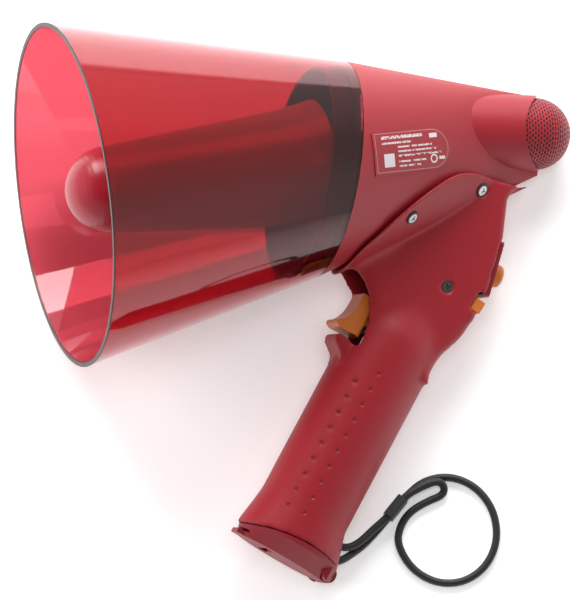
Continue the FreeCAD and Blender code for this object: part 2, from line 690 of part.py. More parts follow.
def rear_controls():
    plate = block(-2.4, 0.9, -PANEL_HALF_WIDTH, PANEL_HALF_WIDTH, -PANEL_HALF_HEIGHT, PANEL_HALF_HEIGHT)
    plate = plate.makeFillet(1.6, [e for e in plate.Edges if abs(e.Length - 3.3) < 0.01])
    knob_z = -1.2
    plate = plate.cut(rod_x(SHAFT_RADIUS + 1.0, -4, 4, 0, knob_z))
    keep("control_panel", placed(plate, PANEL).cut(slide_window()))
    knob = rod_x(KNOB_RADIUS, 1.3, 1.3 + KNOB_HEIGHT, 0, knob_z)
    knob = knob.makeFillet(2.2, [e for e in knob.Edges if e.BoundBox.XMin > 1.3 + KNOB_HEIGHT - 0.01])
    bore = rod_x(SHAFT_RADIUS, 0, 5.0, 0, knob_z)
    keep("volume_knob", placed(knob.cut(bore), PANEL))
    keep("volume_shaft", placed(rod_x(SHAFT_RADIUS, -4.2, 5.0, 0, knob_z), PANEL))
    pot = block(-11.0, -4.6, -5.6, 5.6, knob_z - 5.6, knob_z + 5.6)
    neck = rod_x(3.6, -4.7, -2.7, 0, knob_z)
    pot = joined([pot, neck]).cut(rod_x(SHAFT_RADIUS + PIN_FIT, -5.0, 0, 0, knob_z))
    keep("volume_control", placed(pot, PANEL))
    half = HEAD_HALF_WIDTH - SLIDE_INSET
    bar = block(-4.2, 1.3, -half, half, -4.6, 1.3)
    bar = bar.makeFillet(0.9, [e for e in bar.Edges if e.BoundBox.XMin > 1.25])
    ridges = [block(0.8, 2.0, -half - 1, half + 1, z, z + 0.5) for z in (-3.6, -2.4, -1.2, 0.0)]
    stem = block(-7.2, -4.0, -1.5, 1.5, -3.2, -0.2)
    keep("siren_slide", placed(joined([bar, stem]).cut(ridges), SLIDE))
    switch = block(-11.5, -5.0, -4.0, 4.0, -6.5, 6.5)
    switch = switch.cut(block(-8.0, -4.0, -1.5 - PIN_FIT * 4, 1.5 + PIN_FIT * 4, -3.6, -0.2 + SLIDE_TRAVEL + 0.4))
    keep("siren_switch", placed(switch, SLIDE))


def electronics():
    board = block(BOARD_X[0], BOARD_X[1], BOARD_Y, BOARD_Y + BOARD_THICK, BOARD_Z[0], BOARD_Z[1])
    holes = [rod_y(BOARD_SCREW_RADIUS + 0.2, x, z, 0, 10) for x, z in BOARD_SCREWS]
    away = placed(block(-12.2, 20, -20, 20, -9, 30), PANEL)
    post = rod_y(3.4 + FIT, *GRIP_SCREW, -20, 20)
    low = placed(block(-30, 30, -20, 20, 0, GRIP_SHOULDER - 12), GRIP)
    switch_room = placed(block(-12.0, 20, -20, 20, -8, 8), SLIDE)
    inside = head_form(HEAD_WALL + 0.6)
    keep("amplifier_board", largest(board.common(inside).cut(holes + [away, post, low, switch_room])))
    parts = []
    for x, z, radius, tall in ((165.0, -58.5, 2.4, 8.5), (160.0, -66.0, 3.0, 9.0), (167.5, -70.0, 2.0, 6.0)):
        parts.append(rod_y(radius, x, z, BOARD_Y - tall, BOARD_Y))
    parts.append(block(162.0, 169.0, BOARD_Y - 2.2, BOARD_Y, -82.5, -78.0))
    parts.append(block(159.5, 166.0, BOARD_Y - 5.5, BOARD_Y, -75.0, -72.0))
    keep("board_parts", Part.makeCompound(parts))


def power():
    spacing = CELL_RADIUS + CELL_GAP / 2
    centres = [(6.0, -spacing), (6.0, spacing), (6.0 - spacing * math.sqrt(3), 0.0)]
    cells = []
    contacts = []
    springs = []
    for number, (u, y) in enumerate(centres):
        for level in range(2):
            z0 = CELL_BOTTOM + level * CELL_LENGTH
            can = rod_z(CELL_RADIUS, u, y, z0, z0 + CELL_LENGTH - 1.4)
            can = can.makeFillet(0.6, [e for e in can.Edges if e.BoundBox.ZLength < 0.01])
            nub = rod_z(2.7, u, y, z0 + CELL_LENGTH - 1.5, z0 + CELL_LENGTH - 0.2)
            cells.append(joined([can, nub]))
        top = CELL_BOTTOM + 2 * CELL_LENGTH
        base = FOOT_END + CAP_WALL
        contacts.append(rod_z(4.2, u, y, top, top + 0.5))
        leaf = [(u + du, base + dw) for du, dw in LEAF_SPRING]
        leaf.append((u - 3.4, base + 1.2))
        leaf.insert(-1, (u + 2.3, CELL_BOTTOM))
        spring = plate_xz(leaf, LEAF_HALF_WIDTH)
        spring.translate(vec(0, y, 0))
        springs.append(spring)
    keep("battery_cells", placed(Part.makeCompound(cells), GRIP))
    keep("cell_contacts", placed(Part.makeCompound(contacts), GRIP))
    keep("cap_springs", placed(Part.makeCompound(springs), GRIP))
    top = CELL_BOTTOM + 2 * CELL_LENGTH + 0.5
    inner = grip_form(GRIP_WALL + FIT)
    keep("contact_plate", placed(inner.common(block(-13.6, 30, -30, 30, top, top + 1.6)), GRIP))


def battery_cap():
    lower = oval_loft([
        (22.6, 11.5, 0.4, FOOT_END), (FOOT_HALF_DEPTH, FOOT_HALF_WIDTH, FOOT_OFFSET, FOOT_END + 7.2)])
    upper = oval_loft([
        (FOOT_HALF_DEPTH, FOOT_HALF_WIDTH, FOOT_OFFSET, FOOT_END + 7.2),
        (FOOT_HALF_DEPTH, FOOT_HALF_WIDTH, FOOT_OFFSET, FOOT_END + 14)])
    solid = lower.fuse(upper).common(foot_joint(FIT))
    u, w = HINGE_PIVOT
    solid = solid.cut(block(u, u + 20, -30, 30, w - 20, w + 20))
    barrel = rod_y(HINGE_RADIUS, u, w, -5.3, 5.3)
    rear = rod_y(HINGE_RADIUS, u, w, -12, 12).common(oval_loft([
        (FOOT_HALF_DEPTH, FOOT_HALF_WIDTH, FOOT_OFFSET, FOOT_END - 1),
        (FOOT_HALF_DEPTH, FOOT_HALF_WIDTH, FOOT_OFFSET, FOOT_END + 14)]))
    solid = joined([solid, barrel, rear])
    depth = GRIP_HALF_DEPTH - GRIP_WALL - FIT
    width = GRIP_HALF_WIDTH - GRIP_WALL - FIT
    floor = oval_loft([(depth, CAP_FLOOR_HALF_WIDTH, 0, FOOT_END + CAP_WALL), (depth, width, 0, FOOT_END + 6.4)])
    hollow = oval_loft([(depth, width, 0, FOOT_END + 6.4), (depth, width, 0, FOOT_END + 16)])
    cuts = [floor, hollow, rod_y(PIN_RADIUS + PIN_FIT, u, w, -HINGE_PIN_HALF - PIN_FIT, 12)]
    for y0, y1 in ((-9.4, -5.3), (5.3, 9.4)):
        cuts.append(rod_y(HINGE_RADIUS + FIT, u, w, y0, y1))
        cuts.append(block(u - 2.8, u + 20, y0, y1, w, w + 20))
    latch_slot = block(-30, -18.4, -7, 7, -58.2, -57.2)
    nub = block(-24.6, -19.5, -4.5, 4.5, FOOT_END, -58.2)
    notch = plate_xz([(-9.6, FOOT_END - 1), (-4.4, FOOT_END - 1), (-5.4, -58.9), (-8.6, -58.9)], 6.0)
    cuts.extend([latch_slot, notch])
    keep("battery_cap", placed(joined([solid.cut(cuts), nub.cut(latch_slot)]), GRIP))
    keep("cap_hinge_pin", placed(rod_y(PIN_RADIUS, u, w, -HINGE_PIN_HALF, HINGE_PIN_HALF), GRIP))
    keep("strap_bar", placed(rod_y(STRAP_BAR_RADIUS, *STRAP_BAR, -8.8, 8.8), GRIP))


def rating_label():
    """A thin plate on the body's left side, with one rounded end."""
    skin = body_form(-0.45).cut(body_form(-0.05))
    points = [(134.0, -10.5), (134.0, 8.6), (168.0, 9.6), (176.4, 5.6), (179.6, -0.6), (176.4, -6.6), (168.0, -9.8)]
    region = plate_xz(points, 60, [(2, 6)]).common(block(100, 220, -60, 0, -40, 40))
    return largest(skin.common(region))


def tube(points, radius):
    """A tube through points, with an arc at each turn as large as its two runs allow."""
    edges = []
    radii = []
    start = points[0]
    for i in range(1, len(points) - 1):
        back = (points[i - 1] - points[i]).normalize()
        ahead = (points[i + 1] - points[i]).normalize()
        shorter = min((points[i] - points[i - 1]).Length, (points[i + 1] - points[i]).Length)
        half_turn = (math.pi - back.getAngle(ahead)) / 2
        reach = 0.45 * shorter
        bend = reach / math.tan(half_turn)
        inward = (back + ahead).normalize()
        middle = points[i] + inward * (bend / math.cos(half_turn) - bend)
        first = points[i] + back * reach
        last = points[i] + ahead * reach
        edges.append(Part.makeLine(start, first))
        edges.append(Part.Arc(first, middle, last).toShape())
        radii.append(round(bend, 1))
        start = last
    edges.append(Part.makeLine(start, points[-1]))
    path = Part.Wire(edges)
    section = Part.Wire(Part.makeCircle(radius, points[0], points[1] - points[0]))
    solid = path.makePipeShell([section], True, False)
    expected = math.pi * radius ** 2 * path.Length
    print("strap: length %.1f mm, bend radii %s mm, volume / (section x length) %.4f"
          % (path.Length, radii, solid.Volume / expected))
    return solid


# ---------------------------------------------------------------- laying it down
def foot_support(down):
    """How far the foot of the grip reaches along a direction, from the device's origin."""
    along = GRIP.Rotation.inverted().multVec(down)
    reach = math.hypot(FOOT_HALF_DEPTH * along.x, FOOT_HALF_WIDTH * along.y)
    level = max(along.z * (FOOT_END + 7.2), along.z * FOOT_START)
    return GRIP.Base.dot(down) + FOOT_OFFSET * along.x + reach + level


def joint_support(down):
    """How far the widest edge of the body, at the horn's joint, reaches along a direction."""
    centre, up, half_height, half_width = joint_axes(0)
    return centre.dot(down) + math.hypot(up.dot(down) * half_height, down.y * half_width)


def dome_support(down):
    return MIC.Base.dot(down) + DOME_RADIUS


def resting_direction():
    """The device direction that points down when the joint's edge, the foot and the dome all touch."""
    roll_low, roll_high = 0.0, math.radians(40)
    for _ in range(50):
        roll = (roll_low + roll_high) / 2
        low, high = 0.0, math.radians(40)
        for _ in range(50):
            pitch = (low + high) / 2
            down = vec(math.sin(pitch), math.cos(pitch) * math.cos(roll), -math.cos(pitch) * math.sin(roll))
            if dome_support(down) < joint_support(down):
                low = pitch
            else:
                high = pitch
        if foot_support(down) < joint_support(down):
            roll_low = roll
        else:
            roll_high = roll
    return down


def resting_turn():
    up = resting_direction() * -1
    ahead = vec(1, 0, 0) - up * up.x
    ahead.normalize()
    return FreeCAD.Rotation(ahead, up.cross(ahead), up, "ZXY").inverted()


def resting_place(shapes):
    """Turns the device onto its right side and puts the box's bottom centre at the origin."""
    turn = FreeCAD.Placement(vec(0, 0, 0), resting_turn())
    box = FreeCAD.BoundBox()
    for shape in shapes:
        copy = shape.copy()
        copy.Placement = turn.multiply(copy.Placement)
        box.add(copy.optimalBoundingBox(False))
    shift = vec(-(box.XMin + box.XMax) / 2, -(box.YMin + box.YMax) / 2, -box.ZMin)
    return FreeCAD.Placement(shift, turn.Rotation)


# ---------------------------------------------------------------- wrist strap
# The strap's points are given from the strap bar: (right, up the page, height over the surface).
WRAP_RADIUS = STRAP_BAR_RADIUS + CORD_DIAMETER / 2 + 0.2
SLEEVE_START = (29.2, 10.8)
SLEEVE_END = (38.4, 18.4)
SLEEVE_LOW = 2.6               # height of the lower strand
SLEEVE_RISE = 3.7              # the upper strand lies this far above the lower one
LOOP_CENTRE = (54.8, 0.0)
LOOP_HALF_LENGTH = 23.0
LOOP_HALF_WIDTH = 24.8
HAIRPIN_CENTRE = (54.2, 19.3)
HAIRPIN_RADIUS = 3.5
HAIRPIN_ANGLE = 12.0
LAID = CORD_DIAMETER / 2 + 0.05


def around(centre, radii, angle, corner):
    """A corner of the polygon that a curve round a centre touches."""
    angle = math.radians(angle)
    reach = 1 / math.cos(math.radians(corner / 2))
    return (centre[0] + radii[0] * reach * math.cos(angle), centre[1] + radii[1] * reach * math.sin(angle))


def strap_route(place):
    u, w = STRAP_BAR
    bar = place.multVec(GRIP.multVec(vec(u, 0, w)))
    wrap = [(u + 2.0, w - WRAP_RADIUS)]
    wrap += [around((u, w), (WRAP_RADIUS, WRAP_RADIUS), angle, 60) for angle in (240, 180, 120)]
    wrap.append((u + 3.2, w + WRAP_RADIUS))
    points = [place.multVec(GRIP.multVec(vec(x, 0, z))) for x, z in wrap]
    high = SLEEVE_LOW + SLEEVE_RISE
    rest = [(9.2, -0.2, 9.9), (15.0, 2.0, 8.4), (21.8, 6.6, 7.0)]
    rest += [SLEEVE_START + (high,), SLEEVE_END + (high,), (46.6, 21.4, 5.6)]
    tip = [around(HAIRPIN_CENTRE, (HAIRPIN_RADIUS, HAIRPIN_RADIUS), HAIRPIN_ANGLE + angle, 60)
           for angle in (60, 0, -60)]
    rest += [tip[0] + (5.0,), tip[1] + (3.7,), tip[2] + (2.0,)]
    rest += [(48.8, 14.9, LAID), (40.2, 12.0, LAID), (34.2, 6.4, LAID)]
    for angle in range(184, 470, 31):
        rest.append(around(LOOP_CENTRE, (LOOP_HALF_LENGTH, LOOP_HALF_WIDTH), angle, 31) + (LAID,))
    rest += [SLEEVE_END + (SLEEVE_LOW,), SLEEVE_START + (SLEEVE_LOW,)]
    rest += [(22.4, 5.4, 3.2), (15.6, 0.4, 4.9), (9.6, -2.7, 6.9), (5.0, -4.9, 9.8)]
    points += [vec(bar.x + dx, bar.y + dy, height) for dx, dy, height in rest]
    back = [(u + 5.1, w - WRAP_RADIUS), (u + 2.1, w - WRAP_RADIUS)]
    points += [place.multVec(GRIP.multVec(vec(x, 0, z))) for x, z in back]
    return points


def strap_sleeve(place):
    """The short sleeve over both strands of the strap."""
    bar = place.multVec(GRIP.multVec(vec(STRAP_BAR[0], 0, STRAP_BAR[1])))
    start = vec(bar.x + SLEEVE_START[0], bar.y + SLEEVE_START[1], 0)
    end = vec(bar.x + SLEEVE_END[0], bar.y + SLEEVE_END[1], 0)
    length = (end - start).Length
    hole = CORD_DIAMETER / 2 + 0.25
    wall = 0.6
    top = SLEEVE_LOW + SLEEVE_RISE + hole + wall
    body = block(0.4, length - 0.4, -hole - wall, hole + wall, 0.1, top)
    body = body.makeFillet(1.5, [e for e in body.Edges if e.BoundBox.XLength > 5])
    tunnel = joined([block(-1, length + 1, -hole, hole, SLEEVE_LOW, SLEEVE_LOW + SLEEVE_RISE),
                     rod_x(hole, -1, length + 1, 0, SLEEVE_LOW),
                     rod_x(hole, -1, length + 1, 0, SLEEVE_LOW + SLEEVE_RISE)])
    return placed(body.cut(tunnel), FreeCAD.Placement(start, FreeCAD.Rotation(vec(1, 0, 0), end - start)))


# ---------------------------------------------------------------- building
keep("horn_bell", horn_bell())
keep("reflector_bell", reflector_bell())
keep("throat_plate", throat_plate())
keep("body_shell", body_shell())
driver()
microphone()
grip_shells()
fasteners()
trigger_parts()
rear_controls()
electronics()
power()
battery_cap()
keep("rating_label", rating_label())

PLACE = resting_place([PARTS["horn_bell"], PARTS["body_shell"], PARTS["mic_grille"], PARTS["grip_shell_left"],
                       PARTS["grip_shell_right"], PARTS["battery_cap"], PARTS["trigger"]])
for name in list(PARTS):
    PARTS[name] = placed(PARTS[name], PLACE)
ROUTE = strap_route(PLACE)
print("placement", PLACE.Base, PLACE.Rotation.Q)
keep("wrist_strap", tube(ROUTE, CORD_DIAMETER / 2))
keep("strap_sleeve", strap_sleeve(PLACE))

if __name__ == "__main__":
    os.makedirs("parts", exist_ok=True)
    for name, shape in PARTS.items():
        print(name, len(shape.Solids), shape.isValid(), round(shape.Volume))
        shape.exportStep("parts/%s.step" % name)
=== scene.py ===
# %% [markdown]
# # A hand-held megaphone, dressed for a studio picture
# The measured model is loaded first and stays where it is. Every new piece is made in the same
# frame, in metres, so nothing has to be fitted by eye. The cells below go from the frame and the
# camera, through the wrist strap and the lights, to one finish or piece at a time.

# %% The frame
import bpy
import bmesh
import json
import math
from mathutils import Matrix, Vector


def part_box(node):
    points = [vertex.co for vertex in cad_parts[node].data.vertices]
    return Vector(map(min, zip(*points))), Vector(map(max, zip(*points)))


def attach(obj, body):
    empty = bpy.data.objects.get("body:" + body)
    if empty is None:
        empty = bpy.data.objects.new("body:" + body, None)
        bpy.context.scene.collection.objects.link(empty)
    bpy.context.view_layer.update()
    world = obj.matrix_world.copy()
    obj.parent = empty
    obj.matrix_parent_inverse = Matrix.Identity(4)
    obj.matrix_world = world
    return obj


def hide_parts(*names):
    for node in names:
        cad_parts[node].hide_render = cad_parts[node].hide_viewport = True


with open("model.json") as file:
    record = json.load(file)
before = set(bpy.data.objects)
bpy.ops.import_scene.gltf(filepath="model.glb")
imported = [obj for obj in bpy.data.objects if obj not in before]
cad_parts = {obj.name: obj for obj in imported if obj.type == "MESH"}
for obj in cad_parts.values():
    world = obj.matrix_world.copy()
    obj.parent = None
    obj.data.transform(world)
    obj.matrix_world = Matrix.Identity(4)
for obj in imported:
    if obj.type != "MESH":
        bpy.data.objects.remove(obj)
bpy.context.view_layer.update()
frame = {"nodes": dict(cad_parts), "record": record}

scene = bpy.context.scene
nodes = frame["nodes"]
mounts = {m["name"]: m for m in frame["record"]["mounts"]}
joints = {j["name"]: j for j in frame["record"]["behaviour"]["joints"]}
print("nodes:", len(nodes))

# %% [markdown]
# The megaphone lies on its side, so its own directions are slanted in the scene. They are easy to
# recover: the mouth's axis points out of the horn, the trigger turns about an axis across the
# handle, and the grip has an axis of its own. With these three, a piece can be described as its
# designer would, in millimetres back from the mouth, to the right, and up.

# %% The megaphone's own directions
MM = 0.001
BACK = -Vector(mounts["mouth_axis"]["axis"]).normalized()
RIGHT = -Vector(joints["trigger_hinge"]["axis"]).normalized()
UP = BACK.cross(RIGHT).normalized()
MOUTH = Vector(mounts["mouth_axis"]["pos_m"])
GRIP_UP = Vector(mounts["grip_clamp"]["axis"]).normalized()
GRIP_BACK = RIGHT.cross(GRIP_UP).normalized()
GRIP_MIDDLE = Vector(mounts["grip_clamp"]["pos_m"])


def frame_matrix(origin, x_axis, y_axis, z_axis):
    """Turns millimetres along three directions from an origin into scene metres."""
    columns = Matrix((x_axis, y_axis, z_axis)).transposed() * MM
    return Matrix.Translation(origin) @ columns.to_4x4()


DEVICE = frame_matrix(MOUTH, BACK, RIGHT, UP)
GRIP = frame_matrix(GRIP_MIDDLE, GRIP_BACK, RIGHT, GRIP_UP)


def tilted(x, z, degrees):
    """A frame on the mid plane of the device, turned about its left-right axis."""
    return DEVICE @ Matrix.Translation((x, 0, z)) @ Matrix.Rotation(math.radians(degrees), 4, "Y")


print("mouth to grip:", round((GRIP_MIDDLE - MOUTH).length / MM, 1), "mm")

# %% [markdown]
# A long lens far away keeps the cone's sides nearly parallel, as a product picture does. The
# camera stands to the device's left and a little towards the mouth, and is rolled a few degrees
# so that the horn tips up.

# %% The camera
CAMERA_YAW = math.radians(18.532)
CAMERA_ROLL = math.radians(7.655)
CAMERA_DISTANCE = 1722.973
CAMERA_TARGET = Vector((101.055, 0.0, -60.418))

turn = DEVICE.to_3x3() * 1000.0
toward = Vector((-math.sin(CAMERA_YAW), -math.cos(CAMERA_YAW), 0.0))
flat_right = Vector((math.cos(CAMERA_YAW), -math.sin(CAMERA_YAW), 0.0))
flat_up = Vector((0.0, 0.0, 1.0))
cam_right = flat_right * math.cos(CAMERA_ROLL) - flat_up * math.sin(CAMERA_ROLL)
cam_up = flat_right * math.sin(CAMERA_ROLL) + flat_up * math.cos(CAMERA_ROLL)
camera = bpy.data.objects.new("camera", bpy.data.cameras.new("camera"))
scene.collection.objects.link(camera)
camera.matrix_world = (Matrix.Translation(DEVICE @ (CAMERA_TARGET + toward * CAMERA_DISTANCE))
                       @ Matrix((turn @ cam_right, turn @ cam_up, turn @ toward)).transposed().to_4x4())
camera.data.sensor_fit = "HORIZONTAL"
camera.data.sensor_width = 36.0
camera.data.lens = 36.0 * 3760.0 / 582.0
camera.data.clip_start = 0.05
camera.data.clip_end = 20.0
scene.camera = camera
print("camera", round(camera.location.length, 3), "m away, lens", round(camera.data.lens, 1), "mm")


# %% [markdown]
# The wrist strap is one braided cord. It goes round a bar in the foot, both strands run through a
# sleeve, and it ends in a round loop with a small fold that lies half on the loop. Its line is a
# smooth spline through the same points that its solid follows: the first few are beside the bar,
# and the rest are measured from the bar, level with the floor, each with its height.

# %% The strap's route
CORD = 3.6
BAR = sum((Vector(c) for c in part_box("strap_bar")), Vector()) / 2
WRAP = 1.4 + CORD / 2 + 0.2


def beside_bar(back, up):
    return BAR + (GRIP_BACK * back + GRIP_UP * up) * MM


def from_bar(right, ahead, height):
    return Vector((BAR.x + right * MM, BAR.y + ahead * MM, height * MM))


def ring_point(centre, radii, angle, corner):
    """A corner of the polygon that a curve round a centre touches."""
    reach = 1 / math.cos(math.radians(corner / 2))
    angle = math.radians(angle)
    return (centre[0] + radii[0] * reach * math.cos(angle), centre[1] + radii[1] * reach * math.sin(angle))


LAID = CORD / 2 + 0.05
route = [beside_bar(2.0, -WRAP)]
route += [beside_bar(*ring_point((0, 0), (WRAP, WRAP), angle, 60)) for angle in (240, 180, 120)]
route += [beside_bar(3.2, WRAP)]
route += [from_bar(9.2, -0.2, 9.9), from_bar(15.0, 2.0, 8.4), from_bar(21.8, 6.6, 7.0)]
route += [from_bar(29.2, 10.8, 6.3), from_bar(38.4, 18.4, 6.3), from_bar(46.6, 21.4, 5.6)]
for angle, height in ((72, 5.0), (12, 3.7), (-48, 2.0)):
    route.append(from_bar(*ring_point((54.2, 19.3), (3.5, 3.5), angle, 60), height))
route += [from_bar(48.8, 14.9, LAID), from_bar(40.2, 12.0, LAID), from_bar(34.2, 6.4, LAID)]
for angle in range(184, 470, 31):
    route.append(from_bar(*ring_point((54.8, 0.0), (23.0, 24.8), angle, 31), LAID))
route += [from_bar(38.4, 18.4, 2.6), from_bar(29.2, 10.8, 2.6), from_bar(22.4, 5.4, 3.2)]
route += [from_bar(15.6, 0.4, 4.9), from_bar(9.6, -2.7, 6.9), from_bar(5.0, -4.9, 9.8)]
route += [beside_bar(5.1, -WRAP), beside_bar(2.1, -WRAP)]
print("strap route:", len(route), "points")


def spline_curve(name, points, radius=0.0):
    """A curve object whose one NURBS spline has these points as its control points."""
    data = bpy.data.curves.new(name, "CURVE")
    data.dimensions = "3D"
    data.resolution_u = 12
    spline = data.splines.new("NURBS")
    spline.points.add(len(points) - 1)
    for place, point in zip(points, spline.points):
        point.co = (*place, 1.0)
    spline.order_u = 3
    spline.use_endpoint_u = True
    data.bevel_depth = radius
    data.bevel_resolution = 5
    data.use_fill_caps = radius > 0
    obj = bpy.data.objects.new(name, data)
    scene.collection.objects.link(obj)
    return obj


def mesh_of(obj, name):
    """The finished shape of a curve, as a mesh object of its own; the curve is taken away."""
    bpy.context.view_layer.update()
    mesh = bpy.data.meshes.new_from_object(obj.evaluated_get(bpy.context.evaluated_depsgraph_get()))
    made = bpy.data.objects.new(name, mesh)
    bpy.data.objects.remove(obj)
    scene.collection.objects.link(made)
    return made


line = mesh_of(spline_curve("strap_line", route), "strap_line")
strap_path = [v.co.copy() for v in line.data.vertices]
bpy.data.objects.remove(line)

# %% [markdown]
# The braid is in the shape as well as in the finish. The tube gets a relief of crossing strands:
# two families of slanted ridges, one climbing to the left and one to the right, and whichever is
# higher shows. The angle round the cord and the distance along it are kept in a UV map, so that the
# finish can follow the same strands.

# %% The strap's braid
CARRIERS = 8
BRAID_PITCH = 8.0


def braid_height(around, along):
    """Relief of the braid, 0 in the gaps and 1 on a strand's crown."""
    a = math.cos(math.pi * CARRIERS * (around + along / BRAID_PITCH))
    b = math.cos(math.pi * CARRIERS * (around - along / BRAID_PITCH))
    return max(abs(a), abs(b)) ** 2


def braided_tube(name, path, radius, depth, sides=24, step=0.33):
    """A tube along a path, with a braid's relief and a UV map (round, along in centimetres)."""
    travelled = 0.0
    samples = []
    for a, b in zip(path, path[1:]):
        run = (b - a).length
        count = max(1, round(run / (step * MM)))
        for k in range(count):
            samples.append((a.lerp(b, k / count), travelled + run * k / count))
        travelled += run
    samples.append((path[-1], travelled))
    bm = bmesh.new()
    uv = bm.loops.layers.uv.new("UVMap")
    side = (samples[1][0] - samples[0][0]).orthogonal().normalized()
    rings = []
    for i, (centre, along) in enumerate(samples):
        ahead = samples[min(i + 1, len(samples) - 1)][0] - samples[max(i - 1, 0)][0]
        ahead.normalize()
        side = (side - ahead * side.dot(ahead)).normalized()
        other = ahead.cross(side)
        ring = []
        for k in range(sides):
            angle = 2 * math.pi * k / sides
            relief = braid_height(k / sides, along / MM) - 0.75
            reach = (radius + depth * relief) * MM
            ring.append(bm.verts.new(centre + (side * math.cos(angle) + other * math.sin(angle)) * reach))
        rings.append(ring)
    for i in range(len(rings) - 1):
        for k in range(sides):
            n = (k + 1) % sides
            face = bm.faces.new((rings[i][k], rings[i][n], rings[i + 1][n], rings[i + 1][k]))
            face.smooth = True
            places = ((k, i), (k + 1, i), (k + 1, i + 1), (k, i + 1))
            for loop, (u, v) in zip(face.loops, places):
                loop[uv].uv = (u / sides, samples[v][1] / MM / 10)
    bm.faces.new(rings[0][::-1])
    bm.faces.new(rings[-1])
    mesh = bpy.data.meshes.new(name)
    bm.to_mesh(mesh)
    bm.free()
    obj = bpy.data.objects.new(name, mesh)
    scene.collection.objects.link(obj)
    return obj


strap = braided_tube("braided_strap", strap_path, CORD / 2 - 0.02, 0.2)
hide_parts("wrist_strap")
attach(strap, "main")
print("strap faces:", len(strap.data.polygons))

# %% [markdown]
# The megaphone lies on a pale sweep under soft light: one large panel high up at the top of the
# picture gives the long bright bands along the cone, and two weaker ones, which show in no reflection,
# fill from the mouth's side and from above. The surroundings are white near the horizon and dark
# overhead, so that the upper faces keep their depth of colour.

# %% Floor and lights
def area_light(name, where, target, size, watts, colour=(1.0, 1.0, 1.0)):
    data = bpy.data.lights.new(name, "AREA")
    data.shape = "RECTANGLE"
    data.size, data.size_y = size
    data.energy = watts
    data.color = colour
    obj = bpy.data.objects.new(name, data)
    obj.location = where
    obj.rotation_euler = (Vector(target) - Vector(where)).to_track_quat("-Z", "Y").to_euler()
    scene.collection.objects.link(obj)
    return obj


floor_bm = bmesh.new()
bmesh.ops.create_grid(floor_bm, x_segments=1, y_segments=1, size=4.0)
floor_mesh = bpy.data.meshes.new("floor")
floor_bm.to_mesh(floor_mesh)
floor_bm.free()
floor = bpy.data.objects.new("floor", floor_mesh)
scene.collection.objects.link(floor)

SKY_STOPS = ((0.30, 1.0), (0.80, 0.10))   # height and brightness: white low down, dark overhead
SKY_STRENGTH = 0.75
AIM = (0.0, 0.0, 0.05)
world = bpy.data.worlds.new("studio")
scene.world = world
world.use_nodes = True
sky = world.node_tree
sky_height = sky.nodes.new("ShaderNodeSeparateXYZ")
sky.links.new(sky.nodes.new("ShaderNodeTexCoord").outputs["Generated"], sky_height.inputs[0])
sky_ramp = sky.nodes.new("ShaderNodeValToRGB")
sky_ramp.color_ramp.interpolation = "EASE"
for stop, (place, level) in zip(sky_ramp.color_ramp.elements, SKY_STOPS):
    stop.position = place
    stop.color = (level, level, level, 1.0)
sky.links.new(sky_height.outputs["Z"], sky_ramp.inputs["Fac"])
sky.links.new(sky_ramp.outputs["Color"], sky.nodes["Background"].inputs["Color"])
sky.nodes["Background"].inputs["Strength"].default_value = SKY_STRENGTH
area_light("top_panel", (0.05, 1.05, 0.75), AIM, (1.5, 0.7), 30.0)
for name, where, size, watts in (("mouth_fill", (-1.1, 0.25, 0.6), (0.7, 0.9), 7.0),
                                 ("high_fill", (0.1, -0.1, 1.35), (0.5, 0.5), 4.0)):
    area_light(name, where, AIM, size, watts).visible_glossy = False
scene.view_settings.view_transform = "Standard"
scene.view_settings.look = "None"


# %% [markdown]
# Finishes are written as expressions. A small class wraps a socket, so `1 - mask * 0.3` adds the
# Math nodes for it, and one method adds any other node. What changes over a surface goes to colour,
# roughness, coat weight or bump; everything else is a plain number on the shader.

# %% Writing finishes as expressions
class Value:
    """A value in a finish. Arithmetic on it adds Math nodes."""

    def __init__(self, finish, socket):
        self.finish = finish
        self.socket = socket

    def _math(self, operation, first, second=0.0):
        return self.finish.add("ShaderNodeMath", {"operation": operation}, {0: first, 1: second})

    def __add__(self, other):
        return self._math("ADD", self, other)

    def __radd__(self, other):
        return self._math("ADD", other, self)

    def __sub__(self, other):
        return self._math("SUBTRACT", self, other)

    def __rsub__(self, other):
        return self._math("SUBTRACT", other, self)

    def __mul__(self, other):
        return self._math("MULTIPLY", self, other)

    def __rmul__(self, other):
        return self._math("MULTIPLY", other, self)

    def __truediv__(self, other):
        return self._math("DIVIDE", self, other)

    def __rtruediv__(self, other):
        return self._math("DIVIDE", other, self)

    def __pow__(self, other):
        return self._math("POWER", self, other)

    def abs(self):
        return self._math("ABSOLUTE", self)

    def sin(self):
        return self._math("SINE", self)

    def floor(self):
        return self._math("FLOOR", self)

    def part(self):
        """What is left after the whole number is taken off."""
        return self._math("FRACT", self)

    def rounded(self):
        return self._math("ROUND", self)

    def turn_from(self, other):
        """The angle of the point (other, self)."""
        return self._math("ARCTAN2", self, other)

    def smaller(self, other):
        return self._math("MINIMUM", self, other)

    def larger(self, other):
        return self._math("MAXIMUM", self, other)

    def root(self):
        return self._math("SQRT", self)

    def within(self, half, softness):
        """1 where the value lies between -half and half, 0 outside."""
        return 1.0 - self.abs().above(half, softness)

    def above(self, level, softness):
        """0 below a level and 1 above it, with a soft step."""
        return self.finish.add("ShaderNodeMapRange", {"interpolation_type": "SMOOTHSTEP"},
                               {0: self, 1: level - softness, 2: level + softness, 3: 0.0, 4: 1.0})


